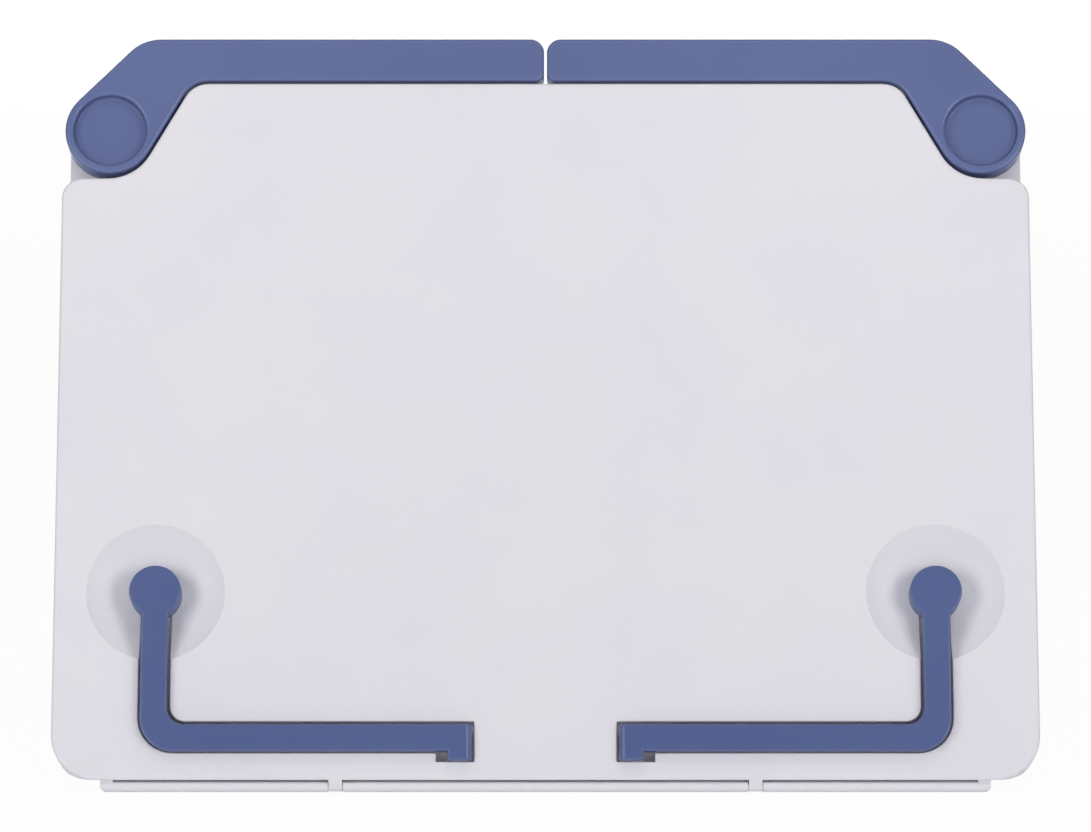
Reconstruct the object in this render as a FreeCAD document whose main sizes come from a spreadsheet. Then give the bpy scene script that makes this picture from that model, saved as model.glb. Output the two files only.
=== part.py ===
"""Folding tabletop music stand, standing on its opened leg with arms, clips and ledge folded.

Every sub-part is drawn in one of two frames. The panel frame lies on the front face: x to the
right, y back into the panel, z up the face from the front lower edge. The table frame has the
same x, y back along the table and z up from the table. PANEL and TABLE place them in the world,
whose origin is the middle of the foot strip's underside.
"""
import FreeCAD, Part
import math
import os
import Sketcher
from FreeCAD import Placement, Rotation, Vector

SIZES = [
    # Panel and cover
    ("recline", 22, "degrees that the panel leans back"),
    ("panel_width", 330, "overall width"),
    ("panel_top", 241.6, "top edge of the front panel, between the arms"),
    ("panel_depth", 10, "depth of the front panel moulding"),
    ("cover_depth", 14, "depth of the rear cover moulding"),
    ("cover_inset", 2, "side of the rear cover inside the side of the panel"),
    ("wall", 2.2, "moulded wall thickness"),
    ("corner_radius", 15.5, "lower corners of the panel"),
    ("shoulder_radius", 7, "corners beside the arm ends"),
    ("shoulder_drop", 0.8, "shoulders below the arms' round ends, beyond the gap"),
    ("edge_round", 1.2, "rounding of the panel's front edge"),
    ("cover_round", 3, "rounding of the cover's rear edge"),
    ("panel_lift", 4.9, "front lower edge of the panel above the table"),
    # Arms
    ("arm_inset", 16, "arm pivot inside the panel's side"),
    ("arm_end_radius", 15.3, "round end of an arm"),
    ("arm_gap", 0.9, "gap between an arm and the panel"),
    ("arm_bar_rise", 17.5, "lower edge of the bar above the pivot"),
    ("arm_bar_width", 15, "width of the bar"),
    ("arm_tip_gap", 0.5, "tip of the bar from the middle"),
    ("arm_tip_round", 4.7, "upper corner of the tip"),
    ("arm_tip_low_round", 2.8, "lower corner of the tip"),
    ("arm_inner_angle", 60, "slope of the inner edge"),
    ("arm_inner_round", 10, "corner between bar and inner edge"),
    ("arm_outer_round", 15, "corner between bar and outer edge"),
    ("friction_thickness", 0.55, "friction washer behind an arm"),
    ("arm_edge_round", 1.2, "rounding of the arm's front edge"),
    ("arm_skin", 2.4, "walls of the hollow bar"),
    ("cap_radius", 12.3, "cap over the arm screw"),
    ("cap_sink", 3, "floor of the cap below the arm's face"),
    ("cap_thickness", 1, "thickness of the cap"),
    ("cap_lip", 0.8, "raised lip of the cap"),
    ("cap_lip_width", 0.5, "width of that lip"),
    ("cap_hollow", 0.6, "hollow corner inside the lip"),
    ("cap_rim_round", 1.2, "rounding of the arm around the cap"),
    ("bush_radius", 5, "bush of the arm pivot, and of the clip"),
    ("arm_washer_radius", 8, "washer under the arm screw"),
    ("arm_washer_thickness", 0.8, "thickness of that washer, and of the wave washer"),
    ("arm_screw_radius", 2, "shank of the arm screw"),
    ("arm_screw_head", 4.2, "head radius of the arm screw"),
    ("arm_screw_head_height", 2, "head height of the arm screw"),
    ("arm_screw_length", 14.4, "shank length of the arm screw"),
    # Clips
    ("clip_inset", 34.2, "clip pivot inside the panel's side"),
    ("clip_pivot_z", 63.7, "clip pivot above the lower edge"),
    ("clip_head_radius", 8.7, "round head of a clip"),
    ("clip_width", 9, "width of the clip's leg and bar"),
    ("clip_bar_z", 14, "middle of the clip's bar above the lower edge"),
    ("clip_tip_x", 24.6, "tip of the clip from the middle"),
    ("clip_outer_round", 11.1, "outer corner of the clip"),
    ("clip_inner_round", 5.9, "inner corner of the clip"),
    ("clip_thickness", 3, "thickness of the clip"),
    ("clip_air", 0.2, "clip above the panel's face"),
    ("clip_edge_round", 0.7, "rounding of the clip's front edges"),
    ("clip_tip_round", 2.2, "rounding of the tip in depth"),
    ("clip_foot_width", 8, "foot at the tip"),
    ("clip_foot_drop", 3, "foot below the bar"),
    ("clip_shaft", 5, "side of the square shaft"),
    ("groove_gap", 0.8, "groove around the clip"),
    ("groove_rise", 0.6, "groove above the middle of the clip's bar, as room for a fingernail"),
    ("groove_depth", 7, "depth of the groove"),
    ("groove_round", 0.4, "rounding of the groove's edge"),
    ("groove_notch_width", 12.7, "notch for the foot"),
    ("dish_radius", 23.3, "finger dish"),
    ("dish_floor_radius", 9.1, "flat floor of the dish"),
    ("dish_depth", 6, "depth of the dish"),
    ("dish_curve", 38, "radius of the dish's curved side"),
    ("clip_boss_radius", 9.6, "boss behind the dish"),
    ("clip_boss_length", 0.2, "that boss beyond the back of the groove"),
    ("clip_flange_radius", 8, "flange of the clip bush, and its thickness below"),
    ("clip_flange", 1, "thickness of the clip bush's flange"),
    ("spring_radius", 5, "mean radius of the clip spring"),
    ("spring_wire", 0.6, "wire of the clip spring"),
    ("spring_air", 0.75, "clip screw in front of the rear skin"),
    ("spring_turns", 3.25, "turns of the clip spring"),
    ("clip_washer_radius", 7, "washer behind the spring"),
    ("clip_washer", 1, "thickness of that washer"),
    ("clip_screw_radius", 1.25, "shank of the clip screw"),
    ("clip_screw_head", 2.4, "head radius of the clip screw"),
    ("clip_screw_head_height", 1.5, "head height of the clip screw"),
    ("clip_screw_length", 8, "shank length of the clip screw"),
    # Ledge and foot strip
    ("ledge_inset", 16.7, "end of the ledge inside the panel's side"),
    ("ledge_thickness", 3.4, "thickness of the ledge"),
    ("ledge_foot_gap", 1.9, "ledge in front of the foot strip"),
    ("ledge_gap", 0.9, "ledge below the panel"),
    ("ledge_setback", 0.1, "front edge of the ledge behind the panel's front edge"),
    ("ledge_rim", 2.4, "rim around the ledge's tray"),
    ("ledge_tray", 1.1, "depth of the tray"),
    ("ledge_end_round", 2.6, "corners of the ledge"),
    ("ledge_corner", 2.6, "lower corners of the ledge's ends"),
    ("ledge_post", 4.2, "post that closes the gap at each end of the ledge"),
    ("ledge_post_depth", 3.6, "depth of that post"),
    ("ledge_post_air", 0.15, "post below the panel"),
    ("hinge_x", 70, "ledge hinge from the middle"),
    ("hinge_width", 4.5, "width of a hinge lug"),
    ("hinge_play", 0.2, "ledge beside a hinge lug"),
    ("lug_relief", 0.2, "hinge lug thinner than the ledge, on each side"),
    ("hinge_pin_radius", 0.75, "ledge hinge pin"),
    ("hinge_pin_length", 20, "length of that pin"),
    ("foot_inset", 25, "end of the foot strip inside the panel's side"),
    ("foot_depth", 6, "depth of the foot strip"),
    ("foot_margin", 0.885, "foot strip in front of the cover's rear edge"),
    ("foot_sink", 0.8, "foot strip let into the cover"),
    # Leg and prop
    ("leg_open", 30, "degrees between leg and panel"),
    ("leg_drop", 34, "leg hinge below the cover's top"),
    ("leg_width", 101, "width of the leg"),
    ("leg_end_round", 8, "corners of the leg's end"),
    ("rod_radius", 2, "hinge rod of the leg"),
    ("rod_overhang", 4, "rod inside each side of the bay"),
    ("bay_play", 1.5, "bay beside the leg"),
    ("bay_floor", 13.2, "bay floor behind the panel's face"),
    ("bay_foot_play", 2, "bay below the folded foot pad"),
    ("bay_head_play", 3.8, "bay above the leg's barrel"),
    ("bay_air", 0.6, "foot pad above the bay floor, when folded"),
    ("barrel_air", 0.4, "leg's barrel above the bay floor"),
    ("scoop_radius", 11, "finger scoop beside the leg"),
    ("scoop_depth", 7, "depth of that scoop"),
    ("scoop_z", 62, "finger scoops above the lower edge"),
    ("pad_inset", 11.5, "end of the foot pad inside the leg's side"),
    ("pad_depth", 7.5, "foot pad below the leg's end"),
    ("pad_grip", 9, "foot pad over the leg's end"),
    ("pad_wall", 1.6, "wall of the foot pad"),
    ("prop_side", 62, "prop from its pivot to its crossbar"),
    ("prop_width", 34, "between the sides of the prop"),
    ("prop_wire", 3, "wire of the prop"),
    ("prop_bend", 5, "bend of the prop's wire"),
    ("prop_overhang", 1.9, "bent end of the prop beyond its rib"),
    ("rib_gap", 2, "ribs beside the prop's bend"),
    ("rib_drop", 12, "cross rib of the leg below the prop's pivot"),
    ("rack_width", 22, "notch rack"),
    ("rack_base", 1.8, "base of the notch rack"),
    ("rack_air", 0.5, "teeth below the prop's wire"),
    ("rack_pitch", 9, "pitch of its teeth"),
    # Fastenings
    ("screw_radius", 1.5, "cover screw"),
    ("screw_head", 2.9, "head radius of a cover screw"),
    ("screw_head_height", 2, "head height of a cover screw"),
    ("screw_length", 13, "shank length of a cover screw"),
    ("screw_well", 6, "depth of the well for the head"),
    ("rim_round", 0.5, "rounding of the openings in the cover's rear"),
    ("screw_inset", 15, "outer cover screws inside the panel's side"),
    ("screw_beside", 13, "inner cover screws beside the bay"),
    ("screw_low", 32, "lowest cover screws above the lower edge"),
    ("screw_middle", 130, "middle cover screws above the lower edge"),
    ("screw_drop", 35, "upper outer cover screws below the arm pivot"),
    ("screw_top", 13, "top cover screws below the cover's top"),
    ("rack_screw_radius", 1.2, "rack screw"),
    ("rack_screw_length", 8, "shank length of a rack screw"),
    ("running", 0.05, "clearance where one piece turns or slides in another"),
    ("loose", 0.4, "clearance around a screw head or cap seat"),
]
LEG_EXTRA = 25  # degrees that the leg opens beyond its standing angle
SIDES = (("left", -1), ("right", 1))

doc = FreeCAD.newDocument("music_stand")
sheet = doc.addObject("Spreadsheet::Sheet", "Sizes")
for row, (alias, number, meaning) in enumerate(SIZES, start=1):
    sheet.set(f"A{row}", meaning)
    sheet.set(f"B{row}", str(number))
    sheet.setAlias(f"B{row}", alias)
doc.recompute()


class Size:
    """A size that carries both its number and the sheet formula that gives it."""

    def __init__(self, number, formula):
        self.number = number
        self.formula = formula

    def __float__(self):
        return float(self.number)

    def __add__(self, other):
        return combine(self, "+", other)

    def __radd__(self, other):
        return combine(other, "+", self)

    def __sub__(self, other):
        return combine(self, "-", other)

    def __rsub__(self, other):
        return combine(other, "-", self)

    def __mul__(self, other):
        return combine(self, "*", other)

    def __rmul__(self, other):
        return combine(other, "*", self)

    def __truediv__(self, other):
        return combine(self, "/", other)

    def __neg__(self):
        return combine(0, "-", self)


def as_size(value):
    return value if isinstance(value, Size) else Size(value, repr(value))


def combine(first, sign, second):
    first = as_size(first)
    second = as_size(second)
    a = first.number
    b = second.number
    if sign == "+":
        number = a + b
    elif sign == "-":
        number = a - b
    elif sign == "*":
        number = a * b
    else:
        number = a / b
    return Size(number, f"({first.formula} {sign} {second.formula})")


def size(alias):
    return Size(float(sheet.get(alias)), f"Sizes.{alias}")


def sine(angle):
    return Size(math.sin(math.radians(angle.number)), f"sin({angle.formula} * 1 deg)")


def cosine(angle):
    return Size(math.cos(math.radians(angle.number)), f"cos({angle.formula} * 1 deg)")


def tangent(angle):
    return Size(math.tan(math.radians(angle.number)), f"tan({angle.formula} * 1 deg)")


# Sketch plane of each view, and whether its normal runs with (1) or against (-1) the depth axis
VIEWS = {"front": ("XZ_Plane", -1), "side": ("YZ_Plane", 1), "plan": ("XY_Plane", 1)}


def new_body(label):
    body = doc.addObject("PartDesign::Body", label)
    body.Label = label
    return body


def new_sketch(body, view, depth):
    role, sense = VIEWS[view]
    plane = next(item for item in body.Origin.OriginFeatures if item.Role == role)
    sketch = body.newObject("Sketcher::SketchObject", f"{body.Name}_sketch")
    sketch.AttachmentSupport = [(plane, "")]
    sketch.MapMode = "FlatFace"
    sketch.setExpression("AttachmentOffset.Base.z", (as_size(depth) * sense).formula)
    return sketch


def pin_point(rules, formulas, geometry, position, u, v):
    """Fixes a point of the sketch at (u, v) and notes the formula of each distance."""
    for kind, axis, value in (("DistanceX", -2, as_size(u)), ("DistanceY", -1, as_size(v))):
        if abs(value.number) < 1e-9:
            rules.append(Sketcher.Constraint("PointOnObject", geometry, position, axis))
            continue
        rules.append(Sketcher.Constraint(kind, -1, 1, geometry, position, value.number))
        formulas[len(rules) - 1] = value.formula


def apply_rules(sketch, rules, formulas):
    first = sketch.ConstraintCount
    sketch.addConstraint(rules)
    for index, formula in formulas.items():
        sketch.setExpression(f"Constraints[{first + index}]", formula)


def draw_circle(sketch, u, v, radius):
    centre = Vector(float(u), float(v), 0)
    circle = sketch.addGeometry(Part.Circle(centre, Vector(0, 0, 1), float(radius)), False)
    rules = [Sketcher.Constraint("Radius", circle, float(radius))]
    formulas = {0: as_size(radius).formula}
    pin_point(rules, formulas, circle, 3, u, v)
    apply_rules(sketch, rules, formulas)


def draw_outline(sketch, corners):
    """Draws a closed outline whose corners are (u, v) or, if rounded, (u, v, radius)."""
    spots = [Vector(float(corner[0]), float(corner[1]), 0) for corner in corners]
    count = len(corners)
    arrive = list(spots)
    leave = list(spots)
    bends = {}
    for i, corner in enumerate(corners):
        if len(corner) == 3:
            back = (spots[i - 1] - spots[i]).normalize()
            onward = (spots[(i + 1) % count] - spots[i]).normalize()
            half = back.getAngle(onward) / 2
            radius = float(corner[2])
            arrive[i] = spots[i] + back * (radius / math.tan(half))
            leave[i] = spots[i] + onward * (radius / math.tan(half))
            middle = (back + onward).normalize()
            bends[i] = spots[i] + middle * (radius / math.sin(half) - radius)
    lines = []
    for i in range(count):
        segment = Part.LineSegment(leave[i], arrive[(i + 1) % count])
        lines.append(sketch.addGeometry(segment, False))
    rules = []
    formulas = {}
    for i, corner in enumerate(corners):
        before = lines[i - 1]
        after = lines[i]
        if i not in bends:
            rules.append(Sketcher.Constraint("Coincident", before, 2, after, 1))
            pin_point(rules, formulas, after, 1, corner[0], corner[1])
            continue
        arc = sketch.addGeometry(Part.Arc(arrive[i], bends[i], leave[i]), False)
        starts_here = sketch.getPoint(arc, 1).distanceToPoint(arrive[i]) < 1e-6
        first, last = (1, 2) if starts_here else (2, 1)
        rules.append(Sketcher.Constraint("Tangent", before, 2, arc, first))
        rules.append(Sketcher.Constraint("Tangent", after, 1, arc, last))
        rules.append(Sketcher.Constraint("Radius", arc, float(corner[2])))
        formulas[len(rules) - 1] = as_size(corner[2]).formula
        point = sketch.addGeometry(Part.Point(spots[i]), True)
        rules.append(Sketcher.Constraint("PointOnObject", point, 1, before))
        rules.append(Sketcher.Constraint("PointOnObject", point, 1, after))
        pin_point(rules, formulas, point, 1, corner[0], corner[1])
    apply_rules(sketch, rules, formulas)


def extrude(kind, body, view, start, end, loops):
    """Pads or pockets the loops between two depths; a loop is a circle (u, v, r) or a corner list."""
    sketch = new_sketch(body, view, start)
    for loop in loops:
        if isinstance(loop, list):
            draw_outline(sketch, loop)
        else:
            draw_circle(sketch, *loop)
    feature = body.newObject(kind, f"{body.Name}_feature")
    feature.Profile = sketch
    feature.setExpression("Length", (as_size(end) - start).formula)
    with_normal = VIEWS[view][1] == 1
    feature.Reversed = with_normal if kind.endswith("Pocket") else not with_normal
    sketch.Visibility = False
    body.Tip = feature
    return feature


def add(body, view, start, end, *loops):
    return extrude("PartDesign::Pad", body, view, start, end, loops)


def cut(body, view, start, end, *loops):
    return extrude("PartDesign::Pocket", body, view, start, end, loops)


def spin(kind, body, depth, axis_v, draw):
    """Turns a side-view profile about the line along y at height axis_v."""
    sketch = new_sketch(body, "side", depth)
    draw(sketch)
    line = Part.LineSegment(Vector(-20, float(axis_v), 0), Vector(40, float(axis_v), 0))
    axis = sketch.addGeometry(line, True)
    rules = []
    formulas = {}
    pin_point(rules, formulas, axis, 1, -20, axis_v)
    pin_point(rules, formulas, axis, 2, 40, axis_v)
    apply_rules(sketch, rules, formulas)
    feature = body.newObject(kind, f"{body.Name}_feature")
    feature.Profile = sketch
    feature.ReferenceAxis = (sketch, ["Axis0"])
    feature.Angle = 360
    sketch.Visibility = False
    body.Tip = feature
    return feature


def round_edges(body, radius, wanted):
    doc.recompute()
    tip = body.Tip
    names = [f"Edge{i}" for i, edge in enumerate(tip.Shape.Edges, start=1) if wanted(edge)]
    feature = body.newObject("PartDesign::Fillet", f"{body.Name}_round")
    feature.Base = (tip, names)
    feature.setExpression("Radius", radius.formula)
    body.Tip = feature
    return feature


def on_depth(y):
    """Edges that lie in the plane at depth y."""
    def wanted(edge):
        box = edge.BoundBox
        return abs(box.YMin - float(y)) < 1e-4 and abs(box.YMax - float(y)) < 1e-4
    return wanted


def box(u0, u1, v0, v1, radius=None):
    corners = [(u0, v0), (u1, v0), (u1, v1), (u0, v1)]
    return corners if radius is None else [(u, v, radius) for u, v in corners]


# Sizes that follow from the sheet
recline = size("recline")
wall = size("wall")
running = size("running")
loose = size("loose")
half_width = size("panel_width") / 2
joint_y = size("panel_depth")
rear_y = joint_y + size("cover_depth")
cover_half = half_width - size("cover_inset")
lift = size("panel_lift")
arm_x = half_width - size("arm_inset")
arm_z = size("panel_top") + size("arm_gap") - size("arm_bar_rise")
arm_thickness = joint_y - size("friction_thickness") - running
cap_back = size("cap_sink") + size("cap_thickness")
arm_washer_y = cap_back + loose + size("arm_screw_head_height")
ear_radius = cover_half - arm_x
cover_top = arm_z + ear_radius
clip_x = half_width - size("clip_inset")
clip_z = size("clip_pivot_z")
boss_end = size("groove_depth") + wall + size("clip_boss_length")
foot_back = rear_y / cosine(recline) - size("foot_margin")
foot_front = foot_back - size("foot_depth")
foot_middle = (foot_front + foot_back) / 2
barrel = (rear_y - size("bay_floor") - size("barrel_air")) / 2
leg_y = rear_y - barrel
leg_z = cover_top - size("leg_drop")
leg_open = size("leg_open")
tilt = leg_open - recline
hinge_height = leg_z * cosine(recline) - leg_y * sine(recline) + lift


def table_line(y):
    """Height, in the folded leg's frame, of the table under depth y when the leg stands open."""
    return leg_z - (hinge_height + (y - leg_y) * sine(tilt)) / cosine(tilt)


leg_end = table_line(rear_y) + size("pad_depth")
leg_inner = size("bay_floor") + size("bay_air") + size("pad_wall")
bay_half = size("leg_width") / 2 + size("bay_play")
bay_bottom = table_line(rear_y) - size("bay_foot_play")
bay_top = leg_z + barrel + size("bay_head_play")
prop_radius = size("prop_wire") / 2
rib_x = size("prop_width") / 2 + size("prop_bend") + size("rib_gap")
well_floor = rear_y - size("screw_well")
screw_end = well_floor - size("screw_length")
screw_outer = half_width - size("screw_inset")
screw_inner = bay_half + size("screw_beside")
SCREW_PLACES = [
    (screw_outer, size("screw_low")),
    (screw_outer, arm_z - size("screw_drop")),
    (screw_inner, size("screw_low")),
    (screw_inner, size("screw_middle")),
    (screw_inner, cover_top - size("screw_top")),
]

PANEL = Placement(Vector(0, -float(foot_middle), float(lift)), Rotation(Vector(1, 0, 0), -float(recline)))
TABLE = Placement(Vector(0, -float(foot_middle), 0), Rotation())
parts = []


def finish(item, placement):
    item.Placement = placement
    parts.append(item)


def to_panel(y, z):
    """A point of the table frame, as seen in the panel frame."""
    drop = z - lift
    return (y * cosine(recline) - drop * sine(recline), y * sine(recline) + drop * cosine(recline))


def panel_outline(inset, bottom):
    """Outline of the front panel, moved inwards by inset; the shoulders follow the arms' round ends."""
    reach = size("arm_end_radius") + size("arm_gap") + inset
    slope = size("arm_inner_angle")
    side = half_width - inset
    top = size("panel_top") - inset
    shoulder = arm_z - reach - size("shoulder_drop")
    dip = arm_x - reach * tangent(slope / 2) + size("shoulder_drop") / tangent(slope)
    peak = arm_x - reach / sine(slope) - (top - arm_z) / tangent(slope)
    top_round = size("arm_inner_round") - size("arm_gap") - inset
    right = [
        (side, bottom, size("corner_radius") - inset),
        (side, shoulder, size("shoulder_radius") - inset),
        (dip, shoulder, reach),
        (peak, top, top_round),
    ]
    left = [(-u, v, radius) for u, v, radius in reversed(right)]
    return right + left


def clip_outline(side, extra, rise):
    """L of a clip or of its groove, wider all round by extra, its bar higher by rise."""
    inward = -side
    half = size("clip_width") / 2 + extra
    centre = clip_x * side
    low = size("clip_bar_z") + rise - half
    high = size("clip_bar_z") + rise + half
    tip = side * (size("clip_tip_x") - extra)
    return [
        (centre - inward * half, clip_z),
        (centre - inward * half, low, size("clip_outer_round") + extra),
        (tip, low),
        (tip, high),
        (centre + inward * half, high, size("clip_inner_round") - extra),
        (centre + inward * half, clip_z),
    ]


def foot_outline(side, width, extra, rise):
    """Foot below the tip of a clip, or its notch in the panel."""
    inward = -side
    tip = side * (size("clip_tip_x") - extra)
    low = size("clip_bar_z") + rise - size("clip_width") / 2 - size("clip_foot_drop") - extra
    high = size("clip_bar_z")
    return box(tip - inward * width, tip, low, high)


def dish_backing(sketch):
    outer = clip_z + size("dish_radius") + wall
    inner = clip_z + size("dish_floor_radius") + wall
    deep = size("dish_depth") + wall
    draw_outline(sketch, [(0, clip_z), (deep, clip_z), (deep, inner), (wall, outer), (0, outer)])


def dish_hollow(sketch):
    """Bowl-shaped dish: flat floor, then a hollow side that gets steeper towards the rim."""
    floor = size("dish_depth")
    rim = Vector(0, float(clip_z + size("dish_radius")), 0)
    foot = Vector(float(floor), float(clip_z + size("dish_floor_radius")), 0)
    chord = foot - rim
    rise = math.sqrt(float(size("dish_curve")) ** 2 - (chord.Length / 2) ** 2)
    across = Vector(chord.y, -chord.x, 0).normalize()
    middle = (rim + foot) / 2 - across * (float(size("dish_curve")) - rise)
    floor_middle = Vector(float(floor), float(clip_z), 0)
    spots = [foot, floor_middle, Vector(-3, float(clip_z), 0), Vector(-3, rim.y, 0), rim]
    formulas = {}
    rules = []
    for start, end in zip(spots, spots[1:]):
        sketch.addGeometry(Part.LineSegment(start, end), False)
    arc = sketch.addGeometry(Part.Arc(rim, middle, foot), False)
    ends = (1, 2) if sketch.getPoint(arc, 1).distanceToPoint(rim) < 1e-6 else (2, 1)
    for line in range(3):
        rules.append(Sketcher.Constraint("Coincident", line, 2, line + 1, 1))
    rules.append(Sketcher.Constraint("Coincident", 3, 2, arc, ends[0]))
    rules.append(Sketcher.Constraint("Coincident", 0, 1, arc, ends[1]))
    pin_point(rules, formulas, 0, 1, floor, clip_z + size("dish_floor_radius"))
    pin_point(rules, formulas, 1, 1, floor, clip_z)
    pin_point(rules, formulas, 2, 1, -3, clip_z)
    pin_point(rules, formulas, 3, 1, -3, clip_z + size("dish_radius"))
    pin_point(rules, formulas, 3, 2, 0, clip_z + size("dish_radius"))
    rules.append(Sketcher.Constraint("Radius", arc, float(size("dish_curve"))))
    formulas[len(rules) - 1] = size("dish_curve").formula
    apply_rules(sketch, rules, formulas)


def bevel(body):
    """Cuts the underside level with the table."""
    far = rear_y + 6
    slope = tangent(recline)
    cut(body, "side", -half_width - 5, half_width + 5, [(0, 0), (far, far * slope), (far, -5), (0, -5)])


# Front panel
panel = new_body("front_panel")
add(panel, "front", 0, joint_y, panel_outline(as_size(0), 0))
round_edges(panel, size("edge_round"), on_depth(0))
cut(panel, "front", wall, joint_y + 1, panel_outline(wall, joint_y * tangent(recline) + wall))
trough = size("groove_gap") + wall
trough_y = size("groove_depth") + wall
groove_up = size("groove_rise")
for hand, side in SIDES:
    add(panel, "front", 1, trough_y, clip_outline(side, trough, groove_up))
    notch_back = foot_outline(side, size("groove_notch_width") + 2 * wall, trough, groove_up)
    add(panel, "front", 1, trough_y, notch_back)
    spin("PartDesign::Revolution", panel, clip_x * side, clip_z, dish_backing)
    add(panel, "front", wall, boss_end, (clip_x * side, clip_z, size("clip_boss_radius")))
    for x, z in SCREW_PLACES:
        add(panel, "front", 1, joint_y, (side * x, z, size("screw_radius") + wall))
for hand, side in SIDES:
    cut(panel, "front", -1, size("groove_depth"), clip_outline(side, size("groove_gap"), groove_up))
    cut(panel, "front", -1, size("groove_depth"),
        foot_outline(side, size("groove_notch_width"), size("groove_gap"), groove_up))
    spin("PartDesign::Groove", panel, clip_x * side, clip_z, dish_hollow)
    cut(panel, "front", 0, boss_end + 1, (clip_x * side, clip_z, size("bush_radius") + running))
    for x, z in SCREW_PLACES:
        cut(panel, "front", screw_end - loose, joint_y + 1, (side * x, z, size("screw_radius") + running))


def groove_edge(edge):
    """Edges of the grooves in the panel's face, up to the rims of the finger dishes."""
    bounds = edge.BoundBox
    middle = edge.CenterOfMass
    in_face = abs(bounds.YMin) < 1e-4 and abs(bounds.YMax) < 1e-4
    inside = bounds.ZMin > float(size("edge_round")) + 1 and bounds.ZMax < float(clip_z)
    beside = max(abs(bounds.XMin), abs(bounds.XMax)) < float(clip_x + size("clip_width"))
    from_pivot = math.hypot(abs(middle.x) - float(clip_x), middle.z - float(clip_z))
    at_rim = -3 < from_pivot - float(size("dish_radius")) < 0.5
    return in_face and inside and beside and not at_rim


round_edges(panel, size("groove_round"), groove_edge)
bevel(panel)
hinge_y = size("ledge_thickness") / 2 + size("ledge_setback")
hinge_z = lift - size("ledge_gap") - size("ledge_thickness") / 2
lug_radius = size("ledge_thickness") / 2 - size("lug_relief")
lug_middle = to_panel(hinge_y, hinge_z)
lug_neck = [
    to_panel(hinge_y - lug_radius, hinge_z),
    to_panel(hinge_y + lug_radius, hinge_z),
    to_panel(hinge_y + lug_radius, lift + 1),
    to_panel(hinge_y - lug_radius, lift + 1),
]
for hand, side in SIDES:
    near = side * size("hinge_x") - size("hinge_width") / 2
    far = side * size("hinge_x") + size("hinge_width") / 2
    add(panel, "side", near, far, lug_neck)
    add(panel, "side", near, far, (*lug_middle, lug_radius))
    cut(panel, "side", near - 1, far + 1, (*lug_middle, size("hinge_pin_radius") + running / 2))
finish(panel, PANEL)

# Rear cover: a shell with closed ears behind the arm pivots and a bay for the leg
cover = new_body("rear_cover")
cover_bottom_round = size("corner_radius") - size("cover_inset")
add(cover, "front", joint_y, rear_y, [
    (-cover_half, 0, cover_bottom_round),
    (cover_half, 0, cover_bottom_round),
    (cover_half, cover_top, ear_radius),
    (-cover_half, cover_top, ear_radius),
])
round_edges(cover, size("cover_round"), on_depth(rear_y))
inside_bottom = rear_y * tangent(recline) + wall
inside = cover_half - wall
cut(cover, "front", joint_y - 1, rear_y - wall,
    box(-inside, inside, inside_bottom, cover_top - wall, ear_radius - wall))
add(cover, "front", size("bay_floor") - wall, rear_y - wall / 2,
    box(-bay_half - wall, bay_half + wall, bay_bottom - wall, bay_top + wall))
ear_inner = panel_outline(2 * wall, 0)[3][0]
ear_low = arm_z - size("arm_end_radius") - 2 * wall
screw_clear = size("screw_radius") + 2 * running
head_clear = size("screw_head") + loose
for hand, side in SIDES:
    ear = [
        (side * ear_inner, ear_low),
        (side * (cover_half - wall / 2), ear_low),
        (side * (cover_half - wall / 2), cover_top - wall / 2, ear_radius - wall / 2),
        (side * ear_inner, cover_top - wall / 2),
    ]
    add(cover, "front", joint_y, joint_y + wall, ear)
    arm_boss = (side * arm_x, arm_z, size("arm_screw_radius") + 2 * wall)
    add(cover, "front", joint_y, rear_y - wall / 2, arm_boss)
    add(cover, "side", side * bay_half if side > 0 else -bay_half - size("rod_overhang"),
        bay_half + size("rod_overhang") if side > 0 else -bay_half,
        (leg_y - 1, leg_z, size("rod_radius") + 1.2 * wall))
    for x, z in SCREW_PLACES:
        add(cover, "front", joint_y, rear_y - wall / 2, (side * x, z, head_clear + wall / 2))
    scoop_back = (side * bay_half, size("scoop_z"), size("scoop_radius") + wall)
    add(cover, "front", rear_y - size("scoop_depth") - wall, rear_y - wall / 2, scoop_back)
rack_low = leg_z - 2 * size("prop_side") - size("rack_pitch")
rack_high = leg_z - 2 * size("prop_side") * cosine(size("leg_open") + LEG_EXTRA) + size("rack_pitch")
rack_screws_z = (rack_low + size("rack_pitch") / 3, rack_high - size("rack_pitch") / 3)
for z in rack_screws_z:
    add(cover, "front", joint_y - size("rack_screw_length") / 2, size("bay_floor") - wall / 2,
        (0, z, size("rack_screw_radius") + wall))
bay = box(-bay_half, bay_half, bay_bottom, bay_top)
cut(cover, "front", size("bay_floor"), rear_y + 1, bay)
for hand, side in SIDES:
    arm_pilot = (side * arm_x, arm_z, size("arm_screw_radius") + running)
    cut(cover, "front", joint_y - 1, arm_washer_y + size("arm_screw_length") + loose, arm_pilot)
    scoop = (side * bay_half, size("scoop_z"), size("scoop_radius"))
    cut(cover, "front", rear_y - size("scoop_depth"), rear_y + 1, scoop)
    for x, z in SCREW_PLACES:
        cut(cover, "front", joint_y - 1, rear_y, (side * x, z, screw_clear))
        cut(cover, "front", well_floor, rear_y + 1, (side * x, z, head_clear))
for z in rack_screws_z:
    cut(cover, "front", joint_y - size("rack_screw_length") / 2 + 1, size("bay_floor") + 1,
        (0, z, size("rack_screw_radius") + running))
rod_half = bay_half + size("rod_overhang") - 0.5
rod_seat = (leg_y, leg_z, size("rod_radius") + running / 2)
cut(cover, "side", -rod_half - running, rod_half + running, rod_seat)
bevel(cover)


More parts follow.
